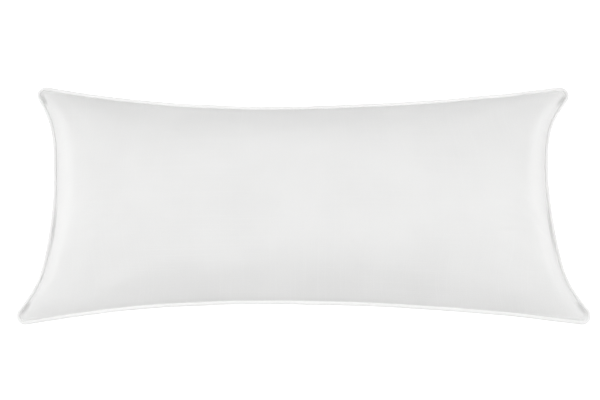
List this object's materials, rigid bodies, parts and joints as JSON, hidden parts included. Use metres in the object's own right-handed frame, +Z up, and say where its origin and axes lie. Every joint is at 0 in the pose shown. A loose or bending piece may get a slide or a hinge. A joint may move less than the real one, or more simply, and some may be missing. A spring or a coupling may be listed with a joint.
{
  "type": "bed pillow",
  "caption": "Plump rectangular bed pillow with inward-curving sides, rounded corner ears and a corded edge all round.",
  "frame": {"origin": "on the surface the pillow rests on, under the middle of its outline", "axes": "+X along the length, +Y across the width to the far long side, +Z up through the loft"},
  "size_m": [0.8847, 0.3947, 0.162],
  "materials": {
    "panel_cotton": "fine down-proof cotton weave, soft, matt with a faint sheen",
    "piping_cotton": "the same cotton cut on the bias, matt",
    "filler_cord": "soft twisted cotton cord",
    "loose_fibre": "lofty white polyester fibre",
    "sewing_thread": "white spun polyester thread",
    "overlock_thread": "white overlock thread, slightly fluffy"
  },
  "bodies": {
    "root": {"top_panel": "panel_cotton", "bottom_panel": "panel_cotton", "piping_cover": "piping_cotton", "piping_cord": "filler_cord", "fill": "loose_fibre", "seam_stitching": "sewing_thread", "cord_stitching": "sewing_thread", "overlock_stitching": "overlock_thread", "closing_stitching": "sewing_thread"}
  },
  "joints": []
}
